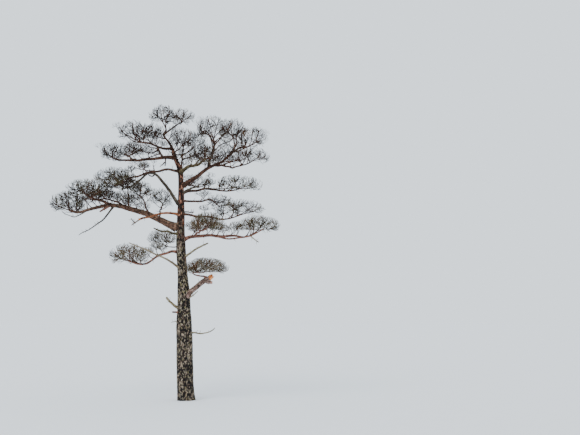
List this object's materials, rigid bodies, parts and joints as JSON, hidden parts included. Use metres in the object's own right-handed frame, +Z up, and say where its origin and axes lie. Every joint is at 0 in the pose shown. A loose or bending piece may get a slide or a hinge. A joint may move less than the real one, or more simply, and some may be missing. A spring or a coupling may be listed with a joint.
{
  "type": "bare scots pine tree",
  "caption": "Lone tree without needles: leaning tapered trunk with a flared foot, crooked boughs, broken dead limbs and a wide open crown of bare twigs in separate masses.",
  "frame": {"origin": "middle of the flat cut under the trunk, at ground level", "axes": "+Z up, +X to the right in the view, +Y away from the view"},
  "size_m": [9.1123, 5.9291, 11.9411],
  "materials": {
    "trunk_bark": "rough plated bark",
    "bough_bark": "thin flaking bark",
    "dead_bark": "weathered bark with lichen",
    "bare_dead_wood": "bleached wood without bark",
    "twigs": "dull thin bark"
  },
  "bodies": {
    "root": {"trunk": "trunk_bark", "bough_top_right": "bough_bark", "bough_upper_left": "bough_bark", "bough_high_left": "bough_bark", "bough_high_left_riser": "bough_bark", "bough_high_left_back": "bough_bark", "bough_mid_left": "bough_bark", "bough_left_diagonal": "bough_bark", "bough_great_left": "bough_bark", "bough_great_left_side": "bough_bark", "bough_great_left_front": "bough_bark", "bough_great_left_rear": "bough_bark", "bough_great_right": "bough_bark", "bough_great_right_upright": "bough_bark", "bough_great_right_back": "bough_bark", "bough_great_right_low": "bough_bark", "bough_right_lichened": "bough_bark", "bough_mid_right_rear": "bough_bark", "bough_mid_right_front": "bough_bark", "bough_rear_high": "bough_bark", "bough_rear": "bough_bark", "bough_low_right": "bough_bark", "bough_low_right_front": "bough_bark", "bough_low_left": "bough_bark", "bough_broken": "bough_bark", "limb_torn_back": "bough_bark", "limb_dead_pale": "bare_dead_wood", "limb_dead_lichened": "dead_bark", "limb_dead_arched": "dead_bark", "limb_dead_drooping": "dead_bark", "snag_mossy": "dead_bark", "twigs_top_left": "twigs", "twigs_top_right": "twigs", "twigs_upper_left": "twigs", "twigs_upper_left_back": "twigs", "twigs_upper_left_inner": "twigs", "twigs_high_left": "twigs", "twigs_high_left_back": "twigs", "twigs_mid_left": "twigs", "twigs_mid_left_back": "twigs", "twigs_great_left": "twigs", "twigs_great_left_side": "twigs", "twigs_great_left_front": "twigs", "twigs_great_left_rear": "twigs", "twigs_great_right": "twigs", "twigs_great_right_upright": "twigs", "twigs_great_right_back": "twigs", "twigs_great_right_low": "twigs", "twigs_leader_front": "twigs", "twigs_leader_back": "twigs", "twigs_right_lichened": "twigs", "twigs_mid_right_rear": "twigs", "twigs_mid_right_front": "twigs", "twigs_rear_high": "twigs", "twigs_rear": "twigs", "twigs_low_right": "twigs", "twigs_low_right_front": "twigs", "twigs_torn_limb": "twigs", "twigs_low_left": "twigs", "twigs_low_back": "twigs"}
  },
  "joints": []
}
